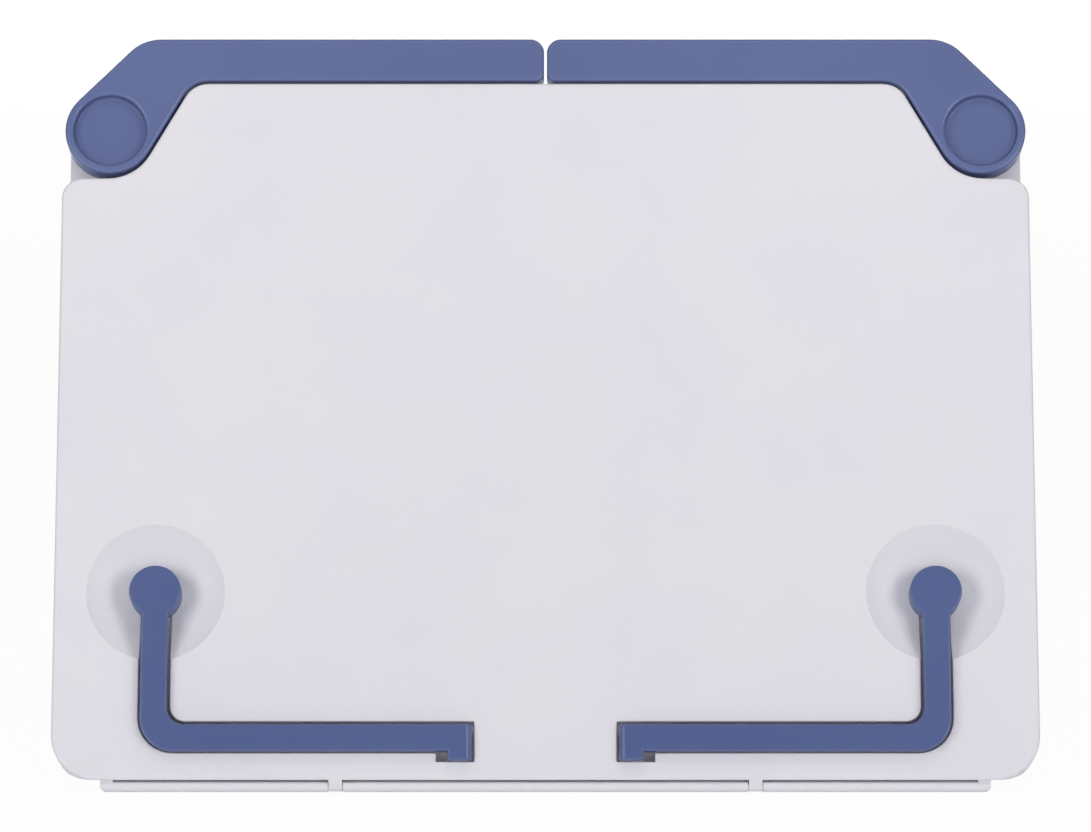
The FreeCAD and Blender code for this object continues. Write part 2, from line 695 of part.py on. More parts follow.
def rear_opening(edge):
    """Edges of the bay, the scoops and the screw wells in the cover's rear face."""
    bounds = edge.BoundBox
    margin = size("cover_round") + 1
    beside = max(abs(bounds.XMin), abs(bounds.XMax)) < float(cover_half - margin)
    between = bounds.ZMin > float(rear_y * tangent(recline)) + 1 and bounds.ZMax < float(cover_top - margin)
    return beside and between and on_depth(rear_y)(edge)


round_edges(cover, size("rim_round"), rear_opening)
foot_half = half_width - size("foot_inset")
seat_top = lift + size("foot_sink")


def foot_section(bottom, extra):
    front = foot_front - extra
    back = foot_back + extra
    corners = ((front, bottom), (back, bottom), (back, seat_top), (front, seat_top))
    return [to_panel(y, z) for y, z in corners]


cut(cover, "side", -foot_half - running, foot_half + running, foot_section(lift - 3, running))
finish(cover, PANEL)

cover_screws = new_body("cover_screws")
heads = [(side * x, z, size("screw_head")) for hand, side in SIDES for x, z in SCREW_PLACES]
shanks = [(side * x, z, size("screw_radius")) for hand, side in SIDES for x, z in SCREW_PLACES]
add(cover_screws, "front", well_floor, well_floor + size("screw_head_height"), *heads)
add(cover_screws, "front", screw_end, well_floor, *shanks)
finish(cover_screws, PANEL)

foot_strip = new_body("foot_strip")
section = [(foot_front, 0), (foot_back, 0), (foot_back, seat_top), (foot_front, seat_top)]
add(foot_strip, "side", -foot_half, foot_half, section)
finish(foot_strip, TABLE)

# Arms: each turns on a fixed bush against a wave washer, with the screw hidden under a cap
for hand, side in SIDES:
    arm = new_body(f"{hand}_arm")
    radius = size("arm_end_radius")
    slope = size("arm_inner_angle")
    low = arm_z + size("arm_bar_rise")
    high = low + size("arm_bar_width")
    diagonal = radius * math.sqrt(0.5)
    tip = side * size("arm_tip_gap")
    inner = arm_x - radius / sine(slope) - (low - arm_z) / tangent(slope)
    outer = arm_x + radius * math.sqrt(2) - (high - arm_z)
    add(arm, "front", 0, arm_thickness, [
        (tip, high, size("arm_tip_round")),
        (tip, low, size("arm_tip_low_round")),
        (side * inner, low, size("arm_inner_round")),
        (side * (arm_x - radius * sine(slope)), arm_z - radius * cosine(slope)),
        (side * (arm_x + diagonal), arm_z + diagonal),
        (side * outer, high, size("arm_outer_round")),
    ])
    add(arm, "front", 0, arm_thickness, (side * arm_x, arm_z, radius))
    round_edges(arm, size("arm_edge_round"), on_depth(0))
    skin = size("arm_skin")
    start = size("arm_tip_gap") + skin
    cell = (inner - size("arm_inner_round") - start) / 3
    hollows = []
    for i in range(3):
        near = side * (start + cell * i)
        far = side * (start + cell * (i + 1) - skin / 2)
        hollows.append(box(near, far, low + skin, high - skin))
    cut(arm, "front", skin, arm_thickness + 1, *hollows)
    pivot = (side * arm_x, arm_z)
    floor_y = arm_washer_y + 2 * size("arm_washer_thickness")
    cut(arm, "front", -1, cap_back, (*pivot, size("cap_radius") + running))
    cut(arm, "front", cap_back - 1, floor_y, (*pivot, size("arm_washer_radius") + loose))
    cut(arm, "front", floor_y - 1, arm_thickness + 1, (*pivot, size("bush_radius") + running))

    def at_cap(edge):
        middle = edge.BoundBox.Center
        centred = abs(middle.x - float(pivot[0])) < 1e-3 and abs(middle.z - float(arm_z)) < 1e-3
        return centred and on_depth(0)(edge)

    round_edges(arm, size("cap_rim_round"), at_cap)
    finish(arm, PANEL)

    cap = new_body(f"{hand}_arm_cap")
    add(cap, "front", size("cap_sink"), cap_back, (*pivot, size("cap_radius")))
    lip_y = size("cap_sink") - size("cap_lip")
    lip_inner = (*pivot, size("cap_radius") - size("cap_lip_width"))
    add(cap, "front", lip_y, size("cap_sink") + running, (*pivot, size("cap_radius")), lip_inner)
    round_edges(cap, size("cap_hollow"), on_depth(size("cap_sink")))
    round_edges(cap, size("cap_lip_width") / 4, on_depth(lip_y))
    finish(cap, PANEL)

    bush_y = arm_washer_y + size("arm_washer_thickness")
    hole = (*pivot, size("arm_screw_radius") + running)
    bore = (*pivot, size("bush_radius") + 4 * running)
    bush = new_body(f"{hand}_arm_bush")
    add(bush, "front", bush_y, joint_y, (*pivot, size("bush_radius")), hole)
    finish(bush, PANEL)
    washer = new_body(f"{hand}_arm_washer")
    add(washer, "front", arm_washer_y, bush_y, (*pivot, size("arm_washer_radius")), hole)
    finish(washer, PANEL)
    wave = new_body(f"{hand}_arm_wave_washer")
    add(wave, "front", bush_y, floor_y - running, (*pivot, size("arm_washer_radius")), bore)
    finish(wave, PANEL)
    friction = new_body(f"{hand}_arm_friction_washer")
    add(friction, "front", arm_thickness + running, joint_y, (*pivot, ear_radius - 2), bore)
    finish(friction, PANEL)
    screw = new_body(f"{hand}_arm_screw")
    screw_front = arm_washer_y - size("arm_screw_head_height")
    screw_back = arm_washer_y + size("arm_screw_length")
    add(screw, "front", screw_front, arm_washer_y, (*pivot, size("arm_screw_head")))
    add(screw, "front", arm_washer_y, screw_back, (*pivot, size("arm_screw_radius")))
    finish(screw, PANEL)

# Page clips: a bush turns in the panel, and the clip's square shaft slides in the bush
for hand, side in SIDES:
    spot = (side * clip_x, clip_z)
    back = -size("clip_air")
    front = back - size("clip_thickness")
    flange_y = boss_end + running
    spring_y = flange_y + size("clip_flange")
    head_end = rear_y - wall - size("spring_air")
    head_y = head_end - size("clip_screw_head_height")
    washer_y = head_y - size("clip_washer")
    half_shaft = size("clip_shaft") / 2
    clip = new_body(f"{hand}_clip")
    add(clip, "front", front, back, clip_outline(side, as_size(0), as_size(0)))
    foot = foot_outline(side, size("clip_foot_width"), as_size(0), as_size(0))
    add(clip, "front", front, back, foot)
    tip_x = float(side * size("clip_tip_x"))

    def at_tip(edge):
        bounds = edge.BoundBox
        upright = bounds.ZLength > 1 and bounds.XLength < 1e-4 and bounds.YLength < 1e-4
        return upright and abs(bounds.XMin - tip_x) < 1e-4 and abs(bounds.YMin - float(front)) < 1e-4

    round_edges(clip, size("clip_tip_round"), at_tip)
    add(clip, "front", front, size("dish_depth") - loose, (*spot, size("clip_head_radius")))
    round_edges(clip, size("clip_edge_round"), on_depth(front))
    shaft = box(spot[0] - half_shaft, spot[0] + half_shaft, clip_z - half_shaft, clip_z + half_shaft)
    add(clip, "front", size("dish_depth") - loose - 1, washer_y, shaft)
    hole = (*spot, size("clip_screw_radius") + running)
    cut(clip, "front", washer_y - size("clip_screw_length") - 1, washer_y + 1, hole)
    finish(clip, PANEL)

    bush = new_body(f"{hand}_clip_bush")
    add(bush, "front", size("dish_depth") + running, flange_y + 0.5, (*spot, size("bush_radius")))
    add(bush, "front", flange_y, spring_y, (*spot, size("clip_flange_radius")))
    slide = half_shaft + running
    cut(bush, "front", size("dish_depth"), spring_y + 1,
        box(spot[0] - slide, spot[0] + slide, clip_z - slide, clip_z + slide))
    finish(bush, PANEL)

    helix = doc.addObject("Part::Helix", f"{hand}_spring_path")
    helix.setExpression("Radius", size("spring_radius").formula)
    rise = washer_y - spring_y - size("spring_wire") * 1.1
    helix.setExpression("Height", rise.formula)
    helix.setExpression("Pitch", (rise / size("spring_turns")).formula)
    helix.SegmentLength = 0.5
    ring = doc.addObject("Part::Circle", f"{hand}_spring_section")
    ring.setExpression("Radius", (size("spring_wire") / 2).formula)
    ring.Placement = Placement(Vector(float(size("spring_radius")), 0, 0), Rotation(Vector(1, 0, 0), 90))
    spring = doc.addObject("Part::Sweep", f"{hand}_clip_spring")
    spring.Sections = [ring]
    spring.Spine = (helix, [])
    spring.Solid = True
    spring.Frenet = True
    spring.Label = f"{hand}_clip_spring"
    first_turn = Vector(float(spot[0]), float(spring_y + size("spring_wire") * 0.55), float(clip_z))
    finish(spring, PANEL * Placement(first_turn, Rotation(Vector(1, 0, 0), -90)))

    washer = new_body(f"{hand}_clip_washer")
    disc = (*spot, size("clip_washer_radius"))
    add(washer, "front", washer_y, head_y, disc, hole)
    finish(washer, PANEL)
    screw = new_body(f"{hand}_clip_screw")
    add(screw, "front", head_y, head_end, (*spot, size("clip_screw_head")))
    add(screw, "front", washer_y - size("clip_screw_length"), head_y, (*spot, size("clip_screw_radius")))
    finish(screw, PANEL)

# Ledge: folded under the panel, hinged at two lugs near its front edge
ledge = new_body("ledge")
ledge_half = half_width - size("ledge_inset")
ledge_low = hinge_z - size("ledge_thickness") / 2
ledge_high = hinge_z + size("ledge_thickness") / 2
ledge_back = foot_front - size("ledge_foot_gap")
end_round = size("ledge_end_round")
add(ledge, "plan", ledge_low, ledge_high, [
    (-ledge_half, hinge_y),
    (ledge_half, hinge_y),
    (ledge_half, ledge_back, end_round),
    (-ledge_half, ledge_back, end_round),
])
add(ledge, "side", -ledge_half, ledge_half, (hinge_y, hinge_z, size("ledge_thickness") / 2))
rim = size("ledge_rim")
tray_front = hinge_y + size("ledge_thickness")
corner = size("ledge_corner")
tray_half = ledge_half - rim - corner
cut(ledge, "plan", ledge_low - 1, ledge_low + size("ledge_tray"),
    box(-tray_half, tray_half, tray_front, ledge_back - rim))
for hand, side in SIDES:
    post = (side * (ledge_half - size("ledge_post")), side * ledge_half)
    post_front = hinge_y - lug_radius / 3
    add(ledge, "plan", hinge_z, lift - size("ledge_post_air"),
        box(*post, post_front, post_front + size("ledge_post_depth")))
    cut(ledge, "front", -1, ledge_back + 1, [
        (side * (ledge_half + 1), ledge_low - 1),
        (side * (ledge_half + 1), ledge_low + corner + 0.1),
        (side * ledge_half, ledge_low + corner + 0.1),
        (side * ledge_half, ledge_low, corner),
        (side * (ledge_half - corner - 0.1), ledge_low),
        (side * (ledge_half - corner - 0.1), ledge_low - 1),
    ])
    near = side * size("hinge_x") - size("hinge_width") / 2 - size("hinge_play")
    far = side * size("hinge_x") + size("hinge_width") / 2 + size("hinge_play")
    slot_back = hinge_y + lug_radius + size("hinge_play")
    slot = box(near, far, hinge_y - size("ledge_thickness"), slot_back)
    cut(ledge, "plan", ledge_low - 1, ledge_high + 1, slot)
    pin_half = size("hinge_pin_length") / 2 + running
    cut(ledge, "side", side * size("hinge_x") - pin_half, side * size("hinge_x") + pin_half,
        (hinge_y, hinge_z, size("hinge_pin_radius") + running / 2))
finish(ledge, TABLE)

pins = new_body("ledge_hinge_pins")
for hand, side in SIDES:
    middle = side * size("hinge_x")
    add(pins, "side", middle - size("hinge_pin_length") / 2, middle + size("hinge_pin_length") / 2,
        (hinge_y, hinge_z, size("hinge_pin_radius")))
finish(pins, TABLE)

# Leg: drawn folded into the bay, then opened about its rod until its pad stands on the table
hinge = Vector(0, float(leg_y), float(leg_z))
swing = Rotation(Vector(1, 0, 0), float(leg_open))
LEG = PANEL * Placement(hinge, swing) * Placement(-hinge, Rotation())
rod = new_body("leg_hinge_rod")
add(rod, "side", -rod_half, rod_half, (leg_y, leg_z, size("rod_radius")))
finish(rod, PANEL)

leg = new_body("support_leg")
leg_half = size("leg_width") / 2
end_round = size("leg_end_round")
add(leg, "front", leg_inner, rear_y, [
    (-leg_half, leg_end, end_round),
    (leg_half, leg_end, end_round),
    (leg_half, leg_z),
    (-leg_half, leg_z),
])
add(leg, "side", -leg_half, leg_half, (leg_y, leg_z, barrel))
pivot_z = leg_z - size("prop_side")
cell_top = leg_z - barrel - wall
cell_low = leg_end + wall
waist = pivot_z - 2 * size("prop_side") + size("prop_side") * 0.6
cells = [
    box(-rib_x + wall / 2, rib_x - wall / 2, waist, cell_top),
    box(-leg_half + wall, -rib_x - wall / 2, pivot_z - size("rib_drop"), cell_top),
    box(rib_x + wall / 2, leg_half - wall, pivot_z - size("rib_drop"), cell_top),
    box(-leg_half + wall, -rib_x - wall / 2, waist, pivot_z - size("rib_drop") - wall),
    box(rib_x + wall / 2, leg_half - wall, waist, pivot_z - size("rib_drop") - wall),
    box(-leg_half + wall, leg_half - wall, cell_low + size("pad_grip"), waist - wall),
]
cut(leg, "front", leg_inner - 1, rear_y - wall, *cells)
cut(leg, "side", -leg_half - 1, leg_half + 1, (leg_y, leg_z, size("rod_radius") + running))
cut(leg, "side", -rib_x - wall, rib_x + wall, (leg_y, pivot_z, prop_radius + running))
round_edges(leg, size("edge_round"), on_depth(rear_y))
finish(leg, LEG)

# Foot pad: a sleeve over the leg's end, cut level with the table at the standing angle
pad = new_body("leg_foot_pad")
pad_half = leg_half - size("pad_inset")
pad_top = leg_end + size("pad_grip")
pad_front = leg_inner - size("pad_wall")
add(pad, "side", -pad_half, pad_half, [
    (pad_front, table_line(pad_front)),
    (rear_y, table_line(rear_y)),
    (rear_y, leg_end - running),
    (leg_inner - running, leg_end - running),
    (leg_inner - running, pad_top),
    (pad_front, pad_top),
])
finish(pad, LEG)

# Prop: a wire yoke whose crossbar runs on the line through the leg's hinge, along the bay
prop_base = Vector(0, float(leg_y), float(pivot_z))
moved = hinge + swing.multVec(prop_base - hinge)
PROP = PANEL * Placement(moved, swing.inverted()) * Placement(-prop_base, Rotation())
half_prop = float(size("prop_width")) / 2
bend = float(size("prop_bend"))
tail = float(rib_x + wall / 2 + size("prop_overhang")) - half_prop
y = float(leg_y)
top = float(pivot_z)
bottom = float(pivot_z - size("prop_side"))
corner = bend * (1 - math.sqrt(0.5))
path = [
    Part.LineSegment(Vector(-half_prop - tail, y, top), Vector(-half_prop - bend, y, top)),
    Part.Arc(Vector(-half_prop - bend, y, top), Vector(-half_prop - corner, y, top - corner),
             Vector(-half_prop, y, top - bend)),
    Part.LineSegment(Vector(-half_prop, y, top - bend), Vector(-half_prop, y, bottom + bend)),
    Part.Arc(Vector(-half_prop, y, bottom + bend), Vector(-half_prop + corner, y, bottom + corner),
             Vector(-half_prop + bend, y, bottom)),
    Part.LineSegment(Vector(-half_prop + bend, y, bottom), Vector(half_prop - bend, y, bottom)),
    Part.Arc(Vector(half_prop - bend, y, bottom), Vector(half_prop - corner, y, bottom + corner),
             Vector(half_prop, y, bottom + bend)),
    Part.LineSegment(Vector(half_prop, y, bottom + bend), Vector(half_prop, y, top - bend)),
    Part.Arc(Vector(half_prop, y, top - bend), Vector(half_prop + corner, y, top - corner),
             Vector(half_prop + bend, y, top)),
    Part.LineSegment(Vector(half_prop + bend, y, top), Vector(half_prop + tail, y, top)),
]
spine = Part.Wire([curve.toShape() for curve in path])
start = Vector(-half_prop - tail, y, top)
round_section = Part.Wire(Part.Circle(start, Vector(1, 0, 0), float(prop_radius)).toShape())
prop = doc.addObject("Part::Feature", "prop_wire")
prop.Shape = spine.makePipeShell([round_section], True, False)
finish(prop, PROP)

# Notch rack: its teeth end just below the path of the prop's crossbar
rack = new_body("notch_rack")
rack_half = size("rack_width") / 2
base_y = size("bay_floor") + size("rack_base")
add(rack, "front", size("bay_floor"), base_y, box(-rack_half, rack_half, rack_low - 4, rack_high + 4))
tooth_y = leg_y - prop_radius - size("rack_air")
pitch = size("rack_pitch")
rack_start = rack_low + pitch
tooth_count = int(float((rack_high - rack_start) / pitch))
for i in range(tooth_count):
    foot = rack_start + pitch * i
    add(rack, "side", -rack_half, rack_half, [
        (base_y - 0.5, foot),
        (tooth_y, foot + pitch * 0.45),
        (tooth_y, foot + pitch * 0.7),
        (base_y - 0.5, foot + pitch * 0.8),
    ])
for z in rack_screws_z:
    cut(rack, "front", size("bay_floor") - 1, base_y + 1, (0, z, size("rack_screw_radius") + running))
finish(rack, PANEL)

rack_screws = new_body("rack_screws")
for z in rack_screws_z:
    add(rack_screws, "front", base_y, base_y + size("rack_base"), (0, z, size("rack_screw_radius") * 2))
    add(rack_screws, "front", base_y - size("rack_screw_length"), base_y, (0, z, size("rack_screw_radius")))
finish(rack_screws, PANEL)

doc.recompute()
for item in doc.Objects:
    if "Invalid" in item.State or "Error" in item.State:
        raise RuntimeError(f"{item.Label} has not been built: {item.State}")
    if item.TypeId in ("PartDesign::Pocket", "PartDesign::Groove"):
        if item.Shape.Volume > item.BaseFeature.Shape.Volume - 1e-3:
            raise RuntimeError(f"{item.Label} takes nothing away")
os.makedirs("parts", exist_ok=True)
for item in parts:
    if item.Shape.isNull() or not item.Shape.isValid():
        raise RuntimeError(f"{item.Label} has no valid shape")
    item.Shape.exportStep(f"parts/{item.Label}.step")
    print(item.Label, len(item.Shape.Solids), "solid(s)", round(item.Shape.Volume), "mm3")

front_normal = PANEL.Rotation.multVec(Vector(0, -1, 0))
print("front normal", [round(value, 5) for value in front_normal])
print("arm pivot", PANEL.multVec(Vector(float(arm_x), 0, float(arm_z))))
print("clip pivot", PANEL.multVec(Vector(float(clip_x), 0, float(clip_z))))
print("ledge hinge", TABLE.multVec(Vector(0, float(hinge_y), float(hinge_z))))
print("leg hinge", PANEL.multVec(hinge))
print("prop pivot", PANEL.multVec(moved))
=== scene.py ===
# %% [markdown]
# # A folding tabletop music stand
# The stand is a wide, shallow box of pale plastic that leans back on a hinged leg. Two blue arms lie
# along its top edge, two blue page clips lie over grooves at its foot, and a thin ledge is folded
# under it.
# The hard parts come from CAD and already have their true shape. This lesson lights them, gives each
# one the finish of its real material, and adds what a moulder or fitter would add: cross-recessed
# screw heads, wire springs, rubber ribs and finger grips.

# %% Load the frame
import math

import bmesh
import bpy
from mathutils import Matrix, Vector


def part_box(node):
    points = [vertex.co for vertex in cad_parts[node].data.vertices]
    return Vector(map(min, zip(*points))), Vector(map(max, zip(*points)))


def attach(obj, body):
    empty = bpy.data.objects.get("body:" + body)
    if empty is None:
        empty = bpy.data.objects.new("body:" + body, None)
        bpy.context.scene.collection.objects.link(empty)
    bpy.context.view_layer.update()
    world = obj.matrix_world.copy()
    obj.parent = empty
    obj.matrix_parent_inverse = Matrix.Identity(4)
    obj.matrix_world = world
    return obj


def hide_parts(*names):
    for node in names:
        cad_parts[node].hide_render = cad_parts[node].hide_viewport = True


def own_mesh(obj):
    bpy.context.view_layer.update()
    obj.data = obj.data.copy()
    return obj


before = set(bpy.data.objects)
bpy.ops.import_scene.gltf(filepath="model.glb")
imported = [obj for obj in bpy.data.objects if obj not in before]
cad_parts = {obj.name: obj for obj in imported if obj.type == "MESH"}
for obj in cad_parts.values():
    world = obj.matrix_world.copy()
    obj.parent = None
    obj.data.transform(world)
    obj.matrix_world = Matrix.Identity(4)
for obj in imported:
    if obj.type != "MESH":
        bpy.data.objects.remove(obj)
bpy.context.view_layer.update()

# %% [markdown]
# ## The camera
# The picture was taken from straight in front, a little above the table, with a long lens. That could
# be set up by eye, but the leaning panel gives it away: its lower edge is 2 % wider than its
# shoulders, which fixes both the distance and the height of the eye. So the camera is placed from
# those numbers.

# %% Camera
MM = 0.001
AIM = Vector((0, 24.64, 120.3)) * MM
DISTANCE = 1.83  # metres
ELEVATION = math.radians(9)
SENSOR_WIDTH = 36  # millimetres, like the focal length
FOCAL_LENGTH = 178.7

lens = bpy.data.cameras.new("camera")
lens.sensor_fit = "HORIZONTAL"
lens.sensor_width = SENSOR_WIDTH
lens.lens = FOCAL_LENGTH
camera = bpy.data.objects.new("camera", lens)
camera.location = AIM + DISTANCE * Vector((0, -math.cos(ELEVATION), math.sin(ELEVATION)))
camera.rotation_euler = (math.radians(90) - ELEVATION, 0, 0)
scene = bpy.context.scene
scene.collection.objects.link(camera)
scene.camera = camera
scene.view_settings.view_transform = "Standard"
print("camera", [round(value, 3) for value in camera.location], "lens", lens.lens)

# %% [markdown]
# ## Nodes in a few words
# Every finish below is a small node tree. One helper adds a node, sets it up and wires it, so that
# each finish reads as a list of what feeds what. Colours are written the way a paint maker or a web
# page gives them, as sRGB hex, and one function turns them into the linear numbers that Blender
# mixes.

# %% Node and colour helpers
def linear(hex_colour):
    """The linear RGBA of an sRGB hex colour."""
    channels = [int(hex_colour[i:i + 2], 16) / 255 for i in (1, 3, 5)]
    return [c / 12.92 if c <= 0.04045 else ((c + 0.055) / 1.055) ** 2.4 for c in channels] + [1]


def per_metre(millimetres):
    """Texture scale at which one feature is that wide."""
    return 1000 / millimetres


def add_node(tree, kind, sockets=(), **settings):
    """Adds a node. A socket gets a constant, or a link if its value is another node's output."""
    node = tree.nodes.new(kind)
    for name, value in settings.items():
        setattr(node, name, value)
    for name, value in dict(sockets).items():
        if isinstance(value, bpy.types.NodeSocket):
            tree.links.new(value, node.inputs[name])
        else:
            node.inputs[name].default_value = value
    return node


def new_material(name):
    made = bpy.data.materials.new(name)
    made.use_nodes = True
    made.node_tree.nodes.clear()
    return made, made.node_tree


print("pale grey", [round(c, 3) for c in linear("#E3E1E7")])

# %% [markdown]
# ## The studio
# The stand sits on a white sweep. Most of the light comes from two soft lamps at the sides, which
# leave the grooves dark and bring out the finger dishes. Weak lamps in front and above soften that,
# and a far one lights the back.
# A bright floor could be had with more light, but that would bleach the pale panel, so the floor is
# seen as white by the camera and by reflections while it still takes the stand's shadow.

# %% Floor
FLOOR_LEVEL = -0.1 * MM  # a hair below the rubber, so that the two faces never lie in one plane
FLOOR_SIDE = 8  # metres to the left and right
FLOOR_FRONT = -6
FLOOR_BACK = 10
WHITE_SHARE = 0.96  # the rest is plain paper, which shows the shadow

floor_mesh = bpy.data.meshes.new("floor")
corners = [
    (-FLOOR_SIDE, FLOOR_FRONT, FLOOR_LEVEL),
    (FLOOR_SIDE, FLOOR_FRONT, FLOOR_LEVEL),
    (FLOOR_SIDE, FLOOR_BACK, FLOOR_LEVEL),
    (-FLOOR_SIDE, FLOOR_BACK, FLOOR_LEVEL),
]
floor_mesh.from_pydata(corners, [], [(0, 1, 2, 3)])
floor = bpy.data.objects.new("floor", floor_mesh)
scene.collection.objects.link(floor)
paper, tree = new_material("white_paper_sweep")
path = add_node(tree, "ShaderNodeLightPath")
seen = add_node(tree, "ShaderNodeMath",
                {0: path.outputs["Is Camera Ray"], 1: path.outputs["Is Glossy Ray"]},
                operation="MAXIMUM")
white = add_node(tree, "ShaderNodeEmission", {"Color": (1, 1, 1, 1), "Strength": 1})
matt = add_node(tree, "ShaderNodeBsdfDiffuse", {"Color": linear("#F2F2F2")})
share = add_node(tree, "ShaderNodeMath", {0: seen.outputs[0], 1: WHITE_SHARE}, operation="MULTIPLY")
mixed = add_node(tree, "ShaderNodeMixShader",
                 {0: share.outputs[0], 1: matt.outputs[0], 2: white.outputs[0]})
add_node(tree, "ShaderNodeOutputMaterial", {"Surface": mixed.outputs[0]})
floor_mesh.materials.append(paper)
print("floor", floor.dimensions[:2])

# %% Sky and lamps
SKY_LIGHT = 0.2  # what the sky gives to surfaces; the camera sees it as white

world = bpy.data.worlds.new("studio")
world.use_nodes = True
tree = world.node_tree
tree.nodes.clear()
path = add_node(tree, "ShaderNodeLightPath")
dim = add_node(tree, "ShaderNodeBackground", {"Color": (1, 1, 1, 1), "Strength": SKY_LIGHT})
bright = add_node(tree, "ShaderNodeBackground", {"Color": (1, 1, 1, 1), "Strength": 1})
mixed = add_node(tree, "ShaderNodeMixShader",
                 {0: path.outputs["Is Camera Ray"], 1: dim.outputs[0], 2: bright.outputs[0]})
add_node(tree, "ShaderNodeOutputWorld", {"Surface": mixed.outputs[0]})
scene.world = world


def softbox(name, place, width, height, watts):
    """A rectangular lamp, sizes in metres, that faces the middle of the picture."""
    lamp = bpy.data.lights.new(name, "AREA")
    lamp.shape = "RECTANGLE"
    lamp.size = width
    lamp.size_y = height
    lamp.energy = watts
    holder = bpy.data.objects.new(name, lamp)
    holder.location = place
    holder.rotation_euler = (AIM - Vector(place)).to_track_quat("-Z", "Y").to_euler()
    scene.collection.objects.link(holder)


softbox("left_softbox", (-0.85, -0.9, 0.42), width=0.6, height=0.6, watts=5.5)
softbox("right_softbox", (0.85, -0.9, 0.42), width=0.6, height=0.6, watts=5.5)
softbox("front_softbox", (0, -2.2, 0.12), width=1, height=0.2, watts=3)
softbox("top_softbox", (0, -0.2, 0.8), width=1, height=0.3, watts=1.5)
softbox("back_softbox", (0, 3.6, 0.6), width=2.4, height=0.9, watts=70)
print("lamps", [lamp.name for lamp in bpy.data.lights])

# %% [markdown]
# ## Moulded plastic
# Panel, cover, ledge and leg are ABS, injection moulded against a spark-eroded steel tool. That gives
# the eye an even satin skin: no sharp reflections, a very fine grain, and faint cloudy flow of the
# colour. The grain is about 0.15 mm on the real tool; it is drawn at 0.5 mm so that it shows at all
# in a picture of this size.
# Arms and clips are the same plastic with blue pigment, moulded smoother, so they take a softer,
# brighter gleam. The clips' copy of it is a deeper blue, which is painted shade for the grooves they
# lie in.

# %% Plastic finishes
FLOW_MM = 45
GLEAM_SPREAD = 0.06
PLASTIC_IOR = 1.53


def moulded_abs(name, colour, deeper, rough, grain_mm, grain_height_mm):
    made, tree = new_material(name)
    place = add_node(tree, "ShaderNodeTexCoord").outputs["Object"]
    flow = add_node(tree, "ShaderNodeTexNoise",
                    {"Vector": place, "Scale": per_metre(FLOW_MM), "Detail": 2})
    grain = add_node(tree, "ShaderNodeTexNoise",
                     {"Vector": place, "Scale": per_metre(grain_mm), "Detail": 3})
    cloud = add_node(tree, "ShaderNodeMapRange",
                     {"Value": flow.outputs["Fac"], "From Min": 0.3, "From Max": 0.7})
    tint = add_node(tree, "ShaderNodeMix",
                    {0: cloud.outputs["Result"], 6: linear(colour), 7: linear(deeper)},
                    data_type="RGBA")
    gleam = add_node(tree, "ShaderNodeMapRange", {
        "Value": grain.outputs["Fac"], "To Min": rough - GLEAM_SPREAD, "To Max": rough + GLEAM_SPREAD})
    skin = add_node(tree, "ShaderNodeBump",
                    {"Height": grain.outputs["Fac"], "Strength": 1, "Distance": grain_height_mm * MM})
    shader = add_node(tree, "ShaderNodeBsdfPrincipled", {
        "Base Color": tint.outputs[2], "Roughness": gleam.outputs["Result"],
        "Normal": skin.outputs["Normal"], "IOR": PLASTIC_IOR})
    add_node(tree, "ShaderNodeOutputMaterial", {"Surface": shader.outputs["BSDF"]})
    return made


pale_abs = moulded_abs("pale_grey_abs_spark_grain", "#E3E1E7", "#E0DEE5",
                       rough=0.5, grain_mm=0.5, grain_height_mm=0.012)
arm_abs = moulded_abs("blue_abs_satin", "#5E6B9A", "#5A6796",
                      rough=0.36, grain_mm=0.7, grain_height_mm=0.008)
# The clips' blue is the arms' blue made deeper: painted shade for the grooves they lie in.
shaded_clip_abs = moulded_abs("blue_abs_clip", "#526192", "#4E5D8F",
                       rough=0.34, grain_mm=0.7, grain_height_mm=0.008)
print("plastics", pale_abs.name, arm_abs.name, shaded_clip_abs.name)

# %% [markdown]
# ## Steel, nylon and rubber
# Rods, screws, washers, springs and the prop are zinc-plated mild steel: a bright grey metal with a
# slightly cloudy plating. Bushes and friction washers are natural nylon, milky and smooth. The foot
# strip and the leg's pad are dark moulded rubber, dull all over with a dusty bloom.
# Each CAD part then gets its finish by the name of the material that it came with. Only the clips
# differ: they have the deeper blue, which is painted shade for the grooves they lie in.

# %% Steel, nylon and rubber finishes
PLATING_CLOUD_MM = 2.5
NYLON_CLOUD_MM = 4
RUBBER_BLOOM_MM = 9
RUBBER_GRAIN_MM = 0.6
RUBBER_GRAIN_HEIGHT_MM = 0.03
RUBBER_IOR = 1.52


def zinc_plated_steel():
    made, tree = new_material("zinc_plated_steel")
    place = add_node(tree, "ShaderNodeTexCoord").outputs["Object"]
    cloud = add_node(tree, "ShaderNodeTexNoise",
                     {"Vector": place, "Scale": per_metre(PLATING_CLOUD_MM), "Detail": 4})
    tint = add_node(tree, "ShaderNodeValToRGB", {"Fac": cloud.outputs["Fac"]})
    tint.color_ramp.elements[0].color = linear("#B9BDC2")
    tint.color_ramp.elements[1].color = linear("#D6D7D6")
    gleam = add_node(tree, "ShaderNodeMapRange",
                     {"Value": cloud.outputs["Fac"], "To Min": 0.24, "To Max": 0.4})
    shader = add_node(tree, "ShaderNodeBsdfPrincipled", {
        "Base Color": tint.outputs["Color"], "Metallic": 1, "Roughness": gleam.outputs["Result"]})
    add_node(tree, "ShaderNodeOutputMaterial", {"Surface": shader.outputs["BSDF"]})
    return made


